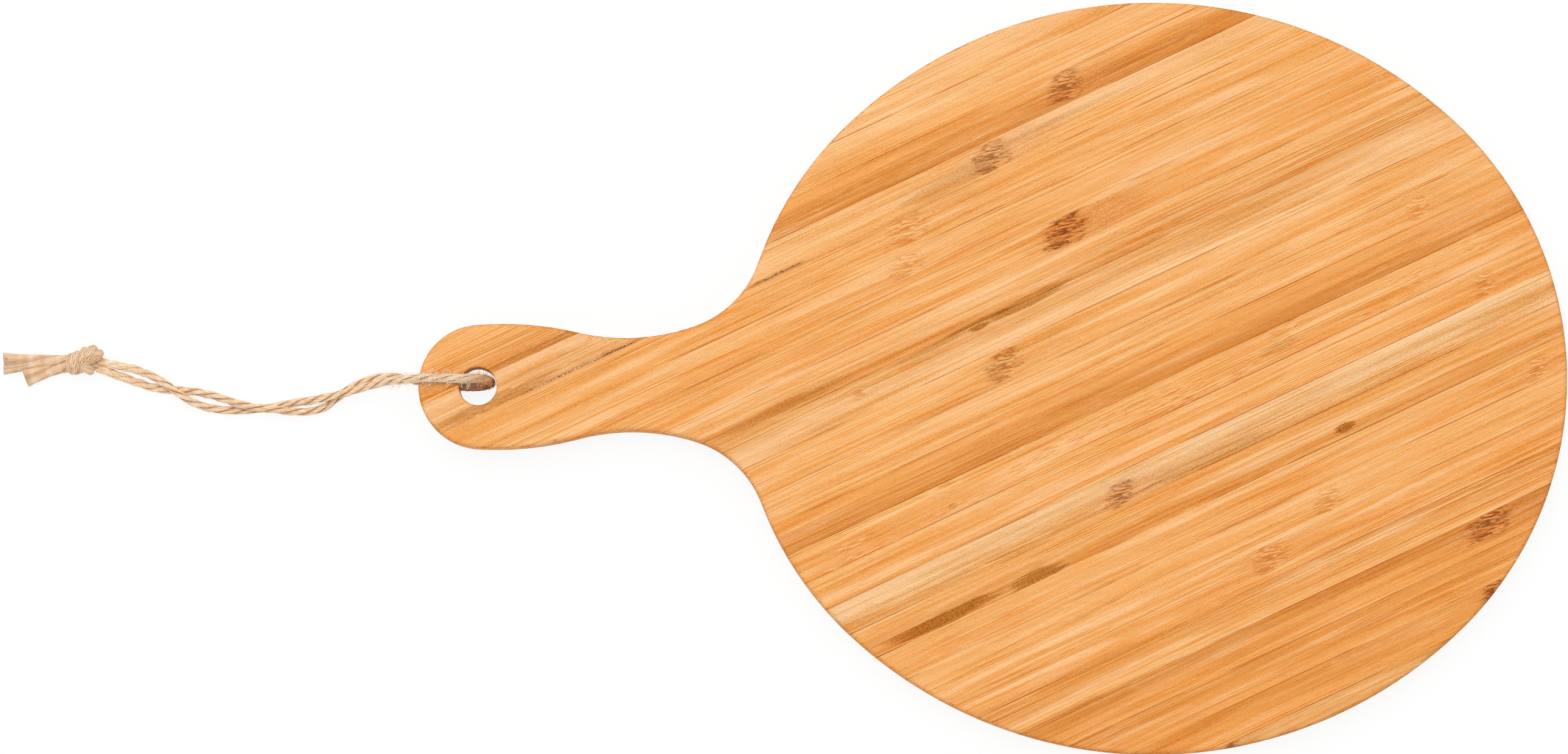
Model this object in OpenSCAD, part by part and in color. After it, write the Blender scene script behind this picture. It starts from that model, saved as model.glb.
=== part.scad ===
// Oval bamboo cutting board with a waisted handle, glued up from strips that run
// diagonally across it, and a hanging loop of jute twine knotted through its hole.
// Millimetres. The origin is on the underside at the centre of the blade,
// the handle points to -X and +Z is up.

/* [Blade] */
// Length of the oval blade along the handle's axis
blade_l = 264; // [262:1:272]
// Width of the oval blade across the handle's axis
blade_w = 240; // [236:1:244]
// Radius of the arcs at the two ends of the oval
blade_end_r = 112; // [110:0.5:113]
// Thickness of the board
board_t = 10; // [8:0.5:15]
// Radius of the eased edges all round
edge_r = 1.5; // [0.5:0.1:2.5]

/* [Handle] */
// Length of the board from the handle's end to the far edge of the blade
overall_l = 366; // [362:1:370]
// Width of the handle at its widest place
handle_w = 39.8; // [38:0.1:41]
// Distance of the widest place from the centre of the blade
handle_at = 208; // [205:0.5:210]
// Width of the handle at its neck
neck_w = 29.7; // [28:0.1:31]
// Distance of the neck from the centre of the blade
neck_at = 167; // [165:0.5:169]
// Radius of the hollow sides at the neck
waist_r = 67; // [60:1:72]
// Radius of the fillets between the neck and the blade
fillet_r = 33; // [28:1:38]

/* [Hanging hole] */
// Diameter of the drilled hole
hole_d = 12; // [11.5:0.5:14]
// Distance of the hole from the centre of the blade
hole_at = 215; // [213:0.5:216]
// Radius of the eased rims of the hole
hole_ease = 0.6; // [0.3:0.1:1]

/* [Strips] */
// Width of one bamboo strip across the board
strip_w = 10.3; // [10:0.05:10.6]
// Angle between the strips and the handle's axis
grain_a = 24.4; // [23:0.1:26]
// Offset of the glue line that runs nearest to the centre of the blade
mid_line = -2.1; // [-3:0.1:-1]

/* [Hanging loop] */
// Diameter of the jute twine
twine_d = 2.6; // [2.4:0.1:3.2]
// Width of a frayed tail at its end
fray_w = 7; // [4:0.2:7]

/* [Hidden] */
$fn = 48;
outline_fn = 240;
half_l = blade_l / 2;
half_w = blade_w / 2;
past = 1;
reach = half_w;

// The oval is four arcs that share a radius line where they meet.
end_off = half_l - blade_end_r;
side_r = (half_l ^ 2 + half_w ^ 2 - 2 * half_l * blade_end_r) / (2 * (half_w - blade_end_r));
side_off = side_r - half_w;
oval_a = atan2(side_off, end_off);
blade_c = [-end_off, 0];

// The handle is a chain of tangent arcs: round end, grip, hollow neck, fillet, blade.
tip_x = half_l - overall_l;
swell = (handle_w - neck_w) / 2;
waist_c = [-neck_at, neck_w / 2 + waist_r];
grip_r = ((handle_at - neck_at) ^ 2 + swell ^ 2) / (2 * swell) - waist_r;
grip_c = [-handle_at, handle_w / 2 - grip_r];
grip_to_tip = -handle_at - tip_x;
cap_r = (grip_r * handle_w - handle_w ^ 2 / 4 - grip_to_tip ^ 2) / (2 * (grip_r - grip_to_tip));
cap_c = [tip_x + cap_r, 0];
fillet_c = lower_crossing(waist_c, waist_r - fillet_r, blade_c, blade_end_r + fillet_r);

// Where two arcs meet, one is cut past the tangent point and the other starts where it lies a step deeper.
step = 0.03;
lap = 2;
end_a = oval_a - short_of(blade_end_r, side_r);
side_a = oval_a - lap * short_of(side_r, blade_end_r);
near_to = heading(blade_c, fillet_c) - short_of(blade_end_r, -fillet_r);
waist_from = heading(waist_c, grip_c) - lap * short_of(waist_r, -grip_r);
waist_to = heading(waist_c, fillet_c) - short_of(waist_r, fillet_r);
grip_from = heading(grip_c, waist_c) + short_of(grip_r, -waist_r);
grip_to = heading(grip_c, cap_c) + lap * short_of(grip_r, cap_r);
cap_a = heading(grip_c, cap_c) + short_of(cap_r, grip_r);

// Glue lines lie strip_w apart, and an edge sliver stays with the strip beside it.
least_part = 0.3;
span = sqrt((half_l * sin(grain_a)) ^ 2 + (half_w * cos(grain_a)) ^ 2);
lines_up = floor((span - mid_line) / strip_w - least_part);
lines_down = floor((span + mid_line) / strip_w - least_part);
first_line = mid_line + lines_up * strip_w;
strip_count = lines_up + lines_down + 2;

// Strips above the notch line are sawn through by the upper hollow of the neck.
notch_w = across(fillet_c) - fillet_r;
notch_x = fillet_c.x + fillet_r * sin(grain_a);
first_sawn = ceil((first_line - across(cap_c) - cap_r) / strip_w);
last_sawn = floor((first_line - notch_w) / strip_w);

// Colours of the strips, from the top glue line down, by tone
tones = ["#e3b983", "#d9a066", "#cf9559", "#c98a4c", "#b98050"];
strip_tones = [2, 2, 4, 0, 2, 1, 2, 3, 0, 2, 1, 4, 3, 3, 0, 3, 1, 0, 3, 0, 4, 3, 2, 2];
twine_tone = "#c2a06c";

// The loop lies on the table, which falls away from the raised handle.
twine_r = twine_d / 2;
clear = 0.3;
over_z = board_t + clear + twine_r;
under_z = -clear - twine_r;
bight_r = (over_z - under_z) / 2;
bight_y = 1.5;
bight_lean = 0.95;
bight_step = 22.5;
bight_x = sqrt((hole_d / 2 - clear - twine_r) ^ 2 - bight_y ^ 2) - hole_at;
bight_c = [bight_x - bight_r, bight_y, (over_z + under_z) / 2];
upper_route = [
    [-222, 2.5, over_z], [-228, 2.7, over_z], [-233.5, 2.8, over_z - 0.1], [-237, 2.6, 10.8],
    [-240.5, 2.4, 8.6], [-244, 2.3, 6], [-248, 1.6, 3.6], [-252, 0.6, 2], [-256, -0.5, 1.2],
    [-260, -1.4, 1.1], [-264, -2.3, 0.4], [-268, -2.9, -0.9], [-272, -3.4, -1.9], [-276, -4, -2.2],
    [-282, -5, -2.3], [-288, -5.6, -2.3], [-294, -5.8, -2.4], [-299, -5.4, -2.2], [-303, -4.5, -1.4],
    [-307, -2.9, -0.3], [-311, -0.4, 0.6], [-315, 2.7, 0.7], [-320, 5.6, 0.1], [-325, 7.6, -0.5],
    [-331, 9, -0.8], [-337, 10.4, -0.8]];
under_route = [
    [-222, 0.6, under_z], [-227, 1, under_z], [-232, 2, under_z], [-237, 3.2, under_z],
    [-242, 4.2, -1.9], [-246, 4.2, -2], [-250, 3.4, -2], [-254, 1.9, -2.1], [-258, -0.2, -2.1],
    [-261, -2.6, -2.1], [-264, -4.9, -2.1], [-268, -6.3, -1.8], [-272, -6.6, -0.8], [-276, -6.4, 0.2],
    [-280, -5.9, 0.7], [-284, -5.5, 0.8], [-288, -4.9, 0.7], [-292, -3.9, 0.2], [-296, -2.5, -0.8],
    [-300, -1.1, -1.8], [-305, 0.2, -2.4], [-310, 0.8, -2.6], [-315, 1.2, -2.6], [-320, 2, -2.6],
    [-325, 3.8, -2.6], [-331, 6, -2.3], [-337, 8.4, -1.4]];
long_tail = [
    [-343, 10.8, -0.6], [-348, 10.9, -1.6], [-353, 10.8, -2.5], [-358, 10.6, -2.9], [-362, 10.4, -2.6],
    [-365, 10.2, -1.9], [-367.6, 10.1, -1.2]];
short_tail = [
    [-343, 9.6, -0.8], [-348, 8.8, -1.8], [-352, 7.9, -2.6], [-355.5, 6.9, -2.7],
    [-358.5, 5.9, -2], [-361, 4.9, -1.2]];
knot_c = [-341.2, 10.4, 0];
wrap_r = 2.9;

loop_path = concat(reversed(under_route), bight_path(), upper_route);
bight_mid = len(under_route) + round(90 / bight_step);

function two_digits(n) = str(n < 10 ? "0" : "", n);
function blade_name(i) = str("blade_strip_", two_digits(i + 1));
function handle_name(i) = str("handle_strip_", two_digits(i - first_sawn + 1));
function heading(p, q) = atan2(q.y - p.y, q.x - p.x);
function across(p) = p.y * cos(grain_a) - p.x * sin(grain_a);
function reversed(list) = [for (i = [len(list) - 1 : -1 : 0]) list[i]];

// Angle short of a tangent point at which an arc has parted by step from the next one,
// whose radius is negative where it bends the other way
function short_of(r, other) = sqrt(2 * step / abs(1 / r - 1 / other)) / r * 180 / PI;

// Lower of the two points at distances rp from p and rq from q
function lower_crossing(p, rp, q, rq) =
    let (d = norm(q - p), u = (q - p) / d, along = (d ^ 2 + rp ^ 2 - rq ^ 2) / (2 * d))
    p + along * u + sqrt(rp ^ 2 - along ^ 2) * [u.y, -u.x];

// Half turn of twine through the hole, from under the handle to over it
function bight_path() = [for (a = [-90 : bight_step : 90])
    bight_c + [bight_r * cos(a), bight_lean * sin(a), bight_r * sin(a)]];

function tangent(path, i) =
    let (v = path[min(i + 1, len(path) - 1)] - path[max(i - 1, 0)]) v / norm(v);

// Ring of points square to the path, turned from the Y axis
function ring(path, i, r, sides) =
    let (t = tangent(path, i), side = cross(t, [0, 1, 0]), n = side / norm(side), b = cross(t, n))
    [for (k = [0 : sides - 1]) path[i] + r * (cos(360 * k / sides) * n + sin(360 * k / sides) * b)];

// Tube through the path's points from first to last, with one radius for each ring
module tube(path, radii, first, last, sides = 8) {
    rings = last - first + 1;
    points = [for (i = [first : last]) each ring(path, i, radii[i], sides)];
    walls = [for (i = [0 : rings - 2], k = [0 : sides - 1])
        let (j = (k + 1) % sides, a = i * sides, b = a + sides)
        each [[a + k, b + k, b + j], [a + k, b + j, a + j]]];
    start = [for (k = [1 : sides - 2]) [0, k, k + 1]];
    last_ring = (rings - 1) * sides;
    end = [for (k = [1 : sides - 2]) [last_ring, last_ring + k + 1, last_ring + k]];
    polyhedron(points, concat(walls, start, end));
}

// Rough blank that the outline is cut from, well clear of it everywhere
module blank() {
    upper = [
        [tip_x - past, handle_w / 2 + past], [-neck_at, handle_w / 2 + past], fillet_c,
        [fillet_c.x, half_w + past], [half_l + past, half_w + past]];
    lower = [for (p = reversed(upper)) [p.x, -p.y]];
    linear_extrude(board_t) polygon(concat(upper, lower));
}

// Cross-section of a cut that leaves a convex edge at r with two eased corners
module outside_section(r) {
    difference() {
        translate([r - edge_r, -past]) square([edge_r + reach, board_t + 2 * past]);
        translate([r - 2 * edge_r, edge_r]) square([2 * edge_r, board_t - 2 * edge_r]);
        for (z = [edge_r, board_t - edge_r]) translate([r - edge_r, z]) circle(edge_r);
    }
}

// Cross-section of a cut that leaves a hollow edge at r with two eased corners
module inside_section(r, ease) {
    difference() {
        translate([0, -past]) square([r + ease, board_t + 2 * past]);
        translate([r, ease]) square([2 * ease, board_t - 2 * ease]);
        for (z = [ease, board_t - ease]) translate([r + ease, z]) circle(ease);
    }
}

module outside_cut(centre, r, from, to) {
    translate(centre) rotate(from)
        rotate_extrude(angle = to - from, $fn = outline_fn) outside_section(r);
}

module inside_cut(centre, r, from, to) {
    translate(centre) rotate(from)
        rotate_extrude(angle = to - from, $fn = outline_fn) inside_section(r, edge_r);
}

module round_cut(centre, r, ease) {
    translate(centre) rotate_extrude($fn = outline_fn) inside_section(r, ease);
}

// The whole board, with its outline and hole, as it is cut from the glued sheet
module board() {
    difference() {
        blank();
        outside_cut([end_off, 0], blade_end_r, -end_a, end_a);
        outside_cut(cap_c, cap_r, cap_a, 360 - cap_a);
        for (side = [0, 1]) mirror([0, side, 0]) {
            outside_cut([0, -side_off], side_r, side_a, 180 - side_a);
            outside_cut(blade_c, blade_end_r, 180 - end_a, near_to);
            round_cut(fillet_c, fillet_r, edge_r);
            inside_cut(waist_c, waist_r, waist_from, waist_to);
            outside_cut(grip_c, grip_r, grip_from, grip_to);
        }
        round_cut([-hole_at, 0], hole_d / 2, hole_ease);
    }
}

// One strip of the sheet between its two glue lines
module sheet_strip(i) {
    top = i == 0 ? overall_l : first_line - (i - 1) * strip_w;
    low = i == strip_count - 1 ? -overall_l : first_line - i * strip_w;
    rotate(grain_a) translate([-overall_l, low, -past])
        cube([2 * overall_l, top - low, board_t + 2 * past]);
}

// The part of the sheet on one side of the notch in the neck
module side_of_notch(handle) {
    translate([handle ? notch_x - 2 * overall_l : notch_x, -overall_l, -past])
        cube([2 * overall_l, 2 * overall_l, board_t + 2 * past]);
}

module blade_strip(i) {
    color(tones[strip_tones[i % len(strip_tones)]]) intersection() {
        board();
        sheet_strip(i);
        if (i <= last_sawn) side_of_notch(false);
    }
}

module handle_strip(i) {
    color(tones[strip_tones[i % len(strip_tones)]]) intersection() {
        board();
        sheet_strip(i);
        side_of_notch(true);
    }
}

module loop_leg(first, last) {
    color(twine_tone) tube(loop_path, [for (p = loop_path) twine_r], first, last);
}

// Doubled overhand knot: two wraps side by side, a lobe behind them and the core
module loop_knot() {
    color(twine_tone) translate(knot_c) {
        for (x = [-0.2, 2.4]) translate([x, 0, 0]) rotate([0, 90, 24]) wrap(wrap_r);
        translate([-2.4, -0.4, -0.6]) rotate([0, 72, -18]) wrap(wrap_r - 0.6);
        sphere(wrap_r);
    }
}

module wrap(r) {
    rotate_extrude() translate([r, 0]) circle(twine_r);
}

// Tail of twine whose end has frayed open
module loop_tail(route) {
    fray = [for (i = [0 : len(route) - 1])
        let (k = max(0, i + 4 - len(route)) / 3) twine_r + (fray_w / 2 - twine_r) * k];
    color(twine_tone) tube(route, fray, 0, len(route) - 1);
}

for (i = [0 : strip_count - 1]) blade_strip(i);
for (i = [first_sawn : last_sawn]) handle_strip(i);
loop_leg(bight_mid, len(loop_path) - 1);  // loop_upper_leg
loop_leg(0, bight_mid);  // loop_under_leg
loop_knot();
loop_tail(long_tail);  // loop_long_tail
loop_tail(short_tail);  // loop_short_tail
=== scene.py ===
import math
import bpy
import numpy as np
from mathutils import Matrix


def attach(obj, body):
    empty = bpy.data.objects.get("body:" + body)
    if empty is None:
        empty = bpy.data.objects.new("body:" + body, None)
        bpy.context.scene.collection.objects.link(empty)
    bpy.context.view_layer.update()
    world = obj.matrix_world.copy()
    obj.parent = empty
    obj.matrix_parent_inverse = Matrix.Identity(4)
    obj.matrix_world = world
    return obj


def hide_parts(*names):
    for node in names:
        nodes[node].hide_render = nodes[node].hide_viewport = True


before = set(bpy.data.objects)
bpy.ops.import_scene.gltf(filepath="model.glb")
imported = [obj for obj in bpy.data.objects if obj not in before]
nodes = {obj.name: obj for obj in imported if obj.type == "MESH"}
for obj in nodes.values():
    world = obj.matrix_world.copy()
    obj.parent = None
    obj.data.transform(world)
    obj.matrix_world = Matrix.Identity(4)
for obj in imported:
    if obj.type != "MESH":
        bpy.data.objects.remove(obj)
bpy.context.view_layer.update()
mm = 0.001
scene = bpy.context.scene
print("frame loaded:", len(nodes), "nodes")


def paint(red, green, blue):  # a screen colour, 0 to 255, as the linear colour that a shader takes
    parts = np.array([red, green, blue]) / 255
    linear = np.where(parts <= 0.04045, parts / 12.92, ((parts + 0.055) / 1.055) ** 2.4)
    return (*map(float, linear), 1.0)


# The camera looks down on the board and leans a little towards its lower edge.
view = {
    "aim": (-117.5, 1.6, 10.0),  # mm, the middle of the picture, on the cutting face
    "distance": 2200.0,
    "lean": 4.1,  # degrees off straight down
    "roll": 0.79,
    "widthSeen": 499.2,  # mm across the picture
    "sensor": 36.0,
    "farthest": 50.0,  # m
}


def makeCamera():  # stands back from its aim along the leaning axis, with a lens that takes in the width
    lean = math.radians(view["lean"])
    roll = math.radians(view["roll"])
    right = np.array([math.cos(roll), -math.sin(roll), 0.0])
    back = np.array([-math.sin(lean) * math.sin(roll), -math.sin(lean) * math.cos(roll), math.cos(lean)])
    up = np.cross(back, right)
    lens = bpy.data.cameras.new("boardCamera")
    lens.sensor_width = view["sensor"]
    lens.lens = view["sensor"] * view["distance"] / view["widthSeen"]
    lens.clip_end = view["farthest"]
    camera = bpy.data.objects.new("boardCamera", lens)
    scene.collection.objects.link(camera)
    stand = (np.array(view["aim"]) + back * view["distance"]) * mm
    placed = np.eye(4)
    placed[:3] = np.column_stack([right, up, back, stand])
    camera.matrix_world = Matrix(placed.tolist())
    scene.camera = camera


makeCamera()
print("camera set")

# The twine lifts the handle, so the table falls away from where the blade's far edge touches it.
table = {
    "edge": 130.5,  # mm along the board, where it touches the table
    "slope": 0.00928,
    "half": 4000.0,  # mm from the middle of the table to its sides
    "colour": (0.98, 0.98, 0.98, 1),
    "glow": 0.9,  # share of plain white that the camera sees, the rest takes the shadow
}


def tableHeight(x):  # a slope through the touching edge, in mm
    return -table["slope"] * (table["edge"] - x)


# The twine: routes in mm, the same points that the solid legs follow.
twine = {
    "diameter": 2.6,
    "plies": 3,
    "plyOffset": 0.5,
    "plyRadius": 0.76,
    "lay": 17.0,  # mm along the twine for one turn of a ply
    "underPhase": 0.4,  # radians that the under leg's plies are turned on
    "holeSwell": (0.1, 14.0),  # mm that the plies loosen at the hole, and over what length
    "knotSwell": (0.16, 16.0),
    "stepAlong": 0.5,
    "leastSteps": 8,
    "stepsRound": 18,
    "strands": (6, 0.09, 7.0),  # ridges on one ply, their depth and their pitch in mm
    "strandWobble": 0.8,
    "ridgeBulge": 1.09,  # mm, a plain tube's mean bulge
    "ridgeGain": 4.0,
    "uvLength": 10.0,  # mm along a strand for one unit of its map
    "bightCentre": (-217.5, 1.5, 5.0),
    "bightRadius": 6.6,
    "bightLean": 0.95,
    "bightPoints": 5,
    "exit": (-210.9, 1.5, 5.0),
}
upperRoute = [
    (-222, 2.5, 11.6), (-228, 2.7, 11.6), (-233.5, 2.8, 11.5), (-237, 2.6, 10.8), (-240.5, 2.4, 8.6),
    (-244, 2.3, 6), (-248, 1.6, 3.6), (-252, 0.6, 2), (-256, -0.5, 1.2), (-260, -1.4, 1.1),
    (-264, -2.3, 0.4), (-268, -2.9, -0.9), (-272, -3.4, -1.9), (-276, -4, -2.2), (-282, -5, -2.3),
    (-288, -5.6, -2.3), (-294, -5.8, -2.4), (-299, -5.4, -2.2), (-303, -4.5, -1.4), (-307, -2.9, -0.3),
    (-311, -0.4, 0.6), (-315, 2.7, 0.7), (-320, 5.6, 0.1), (-325, 7.6, -0.5), (-331, 9, -0.8),
    (-337, 10.4, -0.8),
]
underRoute = [
    (-222, 0.6, -1.6), (-227, 1, -1.6), (-232, 2, -1.6), (-237, 3.2, -1.6), (-242, 4.2, -1.9),
    (-246, 4.2, -2), (-250, 3.4, -2), (-254, 1.9, -2.1), (-258, -0.2, -2.1), (-261, -2.6, -2.1),
    (-264, -4.9, -2.1), (-268, -6.3, -1.8), (-272, -6.6, -0.8), (-276, -6.4, 0.2), (-280, -5.9, 0.7),
    (-284, -5.5, 0.8), (-288, -4.9, 0.7), (-292, -3.9, 0.2), (-296, -2.5, -0.8), (-300, -1.1, -1.8),
    (-305, 0.2, -2.4), (-310, 0.8, -2.6), (-315, 1.2, -2.6), (-320, 2, -2.6), (-325, 3.8, -2.6),
    (-331, 6, -2.3), (-337, 8.4, -1.4),
]
longTail = [
    (-343, 10.8, -0.6), (-348, 10.9, -1.6), (-353, 10.8, -2.5), (-358, 10.6, -2.9), (-362, 10.4, -2.6),
    (-365, 10.2, -1.9), (-367.6, 10.1, -1.2),
]
shortTail = [
    (-343, 9.6, -0.8), (-348, 8.8, -1.8), (-352, 7.9, -2.6), (-355.5, 6.9, -2.7), (-358.5, 5.9, -2),
    (-361, 4.9, -1.2),
]


def bightArc(upwards):  # a quarter circle from the hole's far side to above or below the handle
    angle = np.linspace(0, math.pi / 2, twine["bightPoints"])[:, None] * (1 if upwards else -1)
    centre = np.array(twine["bightCentre"])
    reach = twine["bightRadius"] * np.hstack([np.cos(angle), 0 * angle, np.sin(angle)])
    lean = twine["bightLean"] * np.hstack([0 * angle, np.sin(angle), 0 * angle])
    return centre + reach + lean


def lengthAlong(path):  # the sum of the chords up to each point
    return np.concatenate([[0], np.cumsum(np.linalg.norm(np.diff(path, axis=0), axis=1))])


def smoothPath(points):  # a cubic through the points, with slopes from their neighbours, in even steps
    knots = np.array(points, float)
    chord = lengthAlong(knots)
    slope = np.gradient(knots, chord, axis=0)
    fine = np.linspace(0, chord[-1], max(int(chord[-1] / twine["stepAlong"]), twine["leastSteps"]) + 1)
    first = np.clip(np.searchsorted(chord, fine, side="right") - 1, 0, len(chord) - 2)
    gap = (chord[first + 1] - chord[first])[:, None]
    t = (fine - chord[first])[:, None] / gap
    near = (1 + 2 * t) * (1 - t) ** 2 * knots[first] + t * (1 - t) ** 2 * gap * slope[first]
    far = t ** 2 * (3 - 2 * t) * knots[first + 1] + t ** 2 * (t - 1) * gap * slope[first + 1]
    return near + far


def tangents(path):  # unit steps along a path
    step = np.gradient(path, axis=0)
    return step / np.linalg.norm(step, axis=1)[:, None]


# Two normals at each point of a path, turned as little as can be from one point to the next.
def carriedFrame(path):
    tangent = tangents(path)
    side = np.zeros_like(path)
    last = np.array([0.0, 1.0, 0.15])  # never quite along a path's start
    for i, direction in enumerate(tangent):
        last = last - direction * (last @ direction)
        last = last / np.linalg.norm(last)
        side[i] = last
    return side, np.cross(tangent, side)


def plyLines(path, phase):  # each ply runs as a helix round the twine's centreline
    side, up = carriedFrame(path)
    lines = []
    for start in np.arange(twine["plies"]) * 2 * np.pi / twine["plies"]:
        turn = start + phase - 2 * np.pi * lengthAlong(path)[:, None] / twine["lay"]
        lines.append(path + twine["plyOffset"] * (np.cos(turn) * side + np.sin(turn) * up))
    return lines


# A ring of points carried along a path, round or flattened, with ridges that wind unevenly round it.
# The bulge is how far out a point lies: its distance from the core, the core if that is one number, or
# else the height of the ridges. The jute paints shade where it is low.
def tube(path, radius, stepsRound, ridges=0, depth=0.0, pitch=1.0, core=None, flat=1.0):
    side, up = carriedFrame(path)
    along = lengthAlong(path)[:, None]
    angle = np.linspace(0, 2 * np.pi, stepsRound, endpoint=False)[None, :]
    radius = np.broadcast_to(radius, len(path))[:, None]
    flat = np.broadcast_to(flat, len(path))[:, None]
    wind = 2 * np.pi * along / pitch + np.sin(2 * angle + twine["strandWobble"] * along)
    swell = radius * (1 + depth * np.cos(ridges * angle + wind))
    across = (swell * np.cos(angle))[:, :, None] * side[:, None, :]
    upright = (swell * flat * np.sin(angle))[:, :, None] * up[:, None, :]
    grid = path[:, None, :] + across + upright
    if core is None:
        bulge = twine["ridgeBulge"] + twine["ridgeGain"] * (swell / radius - 1)
    elif np.isscalar(core):
        bulge = np.full(swell.shape, core)
    else:
        bulge = np.linalg.norm(grid - core[:, None, :], axis=2)
    return {"grid": grid, "along": along[:, 0], "bulge": bulge, "ends": path[[0, -1]]}


# One mesh from many tubes: quads between the rings, a fan on each end, lengths along and round as its map.
def meshFromTubes(name, tubes, material, smooth=True):
    spots, quads, fans, quadUv, fanUv, bulges = [], [], [], [], [], []
    base = 0
    for piece in tubes:
        rows, cols = piece["grid"].shape[:2]
        index = base + np.arange(rows * cols).reshape(rows, cols)
        nextRound = np.roll(index, -1, axis=1)
        corners = [index[:-1], nextRound[:-1], nextRound[1:], index[1:]]
        quads.append(np.stack(corners, axis=2).reshape(-1, 4))
        v = np.arange(cols) / cols
        u = piece["along"] / twine["uvLength"]
        corners = [(u[:-1], v), (u[:-1], v + 1 / cols), (u[1:], v + 1 / cols), (u[1:], v)]
        grids = [np.stack(np.broadcast_arrays(a[:, None], b[None, :]), axis=2) for a, b in corners]
        quadUv.append(np.stack(grids, axis=2).reshape(-1, 2))
        tips = base + rows * cols + np.arange(2)
        firstFan = np.stack([nextRound[0], index[0], np.full(cols, tips[0])], axis=1)
        lastFan = np.stack([index[-1], nextRound[-1], np.full(cols, tips[1])], axis=1)
        fans.append(np.vstack([firstFan, lastFan]))
        fanU = np.repeat([u[0], u[-1]], cols * 3)
        fanUv.append(np.stack([fanU, np.tile([0, 0.5, 1.0], cols * 2)], axis=1))
        spots += [piece["grid"].reshape(-1, 3), piece["ends"]]
        bulges += [piece["bulge"].ravel(), piece["bulge"][[0, -1]].mean(axis=1)]
        base += rows * cols + 2
    mesh = bpy.data.meshes.new(name)
    faces = np.vstack(quads).tolist() + np.vstack(fans).tolist()
    mesh.from_pydata((np.vstack(spots) * mm).tolist(), [], faces)
    layer = mesh.uv_layers.new(name="strand")
    layer.data.foreach_set("uv", np.vstack(quadUv + fanUv).astype(np.float32).ravel())
    bulge = mesh.attributes.new("bulge", "FLOAT", "POINT")
    bulge.data.foreach_set("value", np.concatenate(bulges).astype(np.float32))
    mesh.polygons.foreach_set("use_smooth", np.full(len(faces), smooth))
    mesh.materials.append(material)
    mesh.update()
    made = bpy.data.objects.new(name, mesh)
    scene.collection.objects.link(made)
    return made


# Node helpers: feeds, one node, then the few kinds used all over.
wiring = {"tree": None}  # the node tree opened last, which they add to


def feed(node, feeds):  # links a socket, or sets a plain value
    for socket, value in feeds.items():
        if isinstance(value, bpy.types.NodeSocket):
            wiring["tree"].links.new(value, node.inputs[socket])
        else:
            node.inputs[socket].default_value = value


def put(kind, feeds=None, **settings):  # one node with its settings and feeds
    made = wiring["tree"].nodes.new(kind)
    for name, value in settings.items():
        setattr(made, name, value)
    feed(made, feeds or {})
    return made


def calc(operation, first, second=0.0, third=0.0):  # one sum of up to three values
    return put("ShaderNodeMath", {0: first, 1: second, 2: third}, operation=operation).outputs[0]


def times(product, *others):  # the product of all its values
    for other in others:
        product = calc("MULTIPLY", product, other)
    return product


def minus(first, second):  # the first less the second
    return calc("SUBTRACT", first, second)


def size(value):  # the value without its sign
    return calc("ABSOLUTE", value)


def ramp(value, gain, base):  # gain times the value, plus the base
    return calc("MULTIPLY_ADD", value, gain, base)


def ease(value, start, full):  # 0 before the start, 1 where it is full, smooth between
    feeds = {"Value": value, "From Min": start, "From Max": full}
    return put("ShaderNodeMapRange", feeds, interpolation_type="SMOOTHSTEP").outputs[0]


def effect(value, rule, *others):  # a rule is where a thing starts, where it is full, and any strength
    return times(ease(value, *rule[:2]), *rule[2:], *others)


def tint(share, under, over, how="MIX"):  # a share of one colour laid over another
    feeds = {0: share, 6: under, 7: over}
    return put("ShaderNodeMix", feeds, data_type="RGBA", blend_type=how).outputs[2]


def washed(share, colour, wash):  # a colour multiplied by a share of a wash
    return tint(share, colour, wash, "MULTIPLY")


def scaledBy(vector, factor):  # a place or a colour times one number
    return put("ShaderNodeVectorMath", {0: vector, "Scale": factor}, operation="SCALE").outputs[0]


def inSizes(place, sizes):  # a place divided by the size of a pattern along each way
    feeds = {0: place, 1: tuple(1 / s for s in sizes)}
    return put("ShaderNodeVectorMath", feeds, operation="MULTIPLY").outputs[0]


def pattern(place, sizes, detail=2.0, roughness=0.5, distortion=0.0):  # noise about 0.5, of these sizes
    feeds = {"Vector": inSizes(place, sizes), "Scale": 1.0, "Detail": detail}
    feeds |= {"Roughness": roughness, "Distortion": distortion}
    return put("ShaderNodeTexNoise", feeds).outputs[0]


def swing(*args):  # a pattern that goes either side of 0
    return minus(pattern(*args), 0.5)


def split(place):  # the three parts of a place or a colour
    return put("ShaderNodeSeparateXYZ", {0: place}).outputs[:3]


def joined(x=0.0, y=0.0, z=0.0):  # a place from its three parts
    return put("ShaderNodeCombineXYZ", {0: x, 1: y, 2: z}).outputs[0]


def group(name, ins, outs):  # a node group with its sockets; ins and outs are (name, kind) pairs
    kinds = {"f": "NodeSocketFloat", "c": "NodeSocketColor", "v": "NodeSocketVector"}
    tree = bpy.data.node_groups.new(name, "ShaderNodeTree")
    for direction, sockets in (("INPUT", ins), ("OUTPUT", outs)):
        for socket, kind in sockets:
            tree.interface.new_socket(name=socket, in_out=direction, socket_type=kinds[kind])
    wiring["tree"] = tree
    return tree, put("NodeGroupInput").outputs


def useGroup(inner, feeds):  # a group's results
    return put("ShaderNodeGroup", feeds, node_tree=inner).outputs


def newMaterial(name):  # opens a material for the helpers, and gives its shader
    material = bpy.data.materials.new(name)
    material.use_nodes = True
    wiring["tree"] = material.node_tree
    return material, material.node_tree.nodes["Principled BSDF"]


def finishSurface(shader, looks, height, strength, distance):  # its looks and a bump, distance in m
    bump = put("ShaderNodeBump", {"Strength": strength, "Distance": distance, "Height": height})
    feed(shader, looks | {"Normal": bump.outputs[0]})
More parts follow.
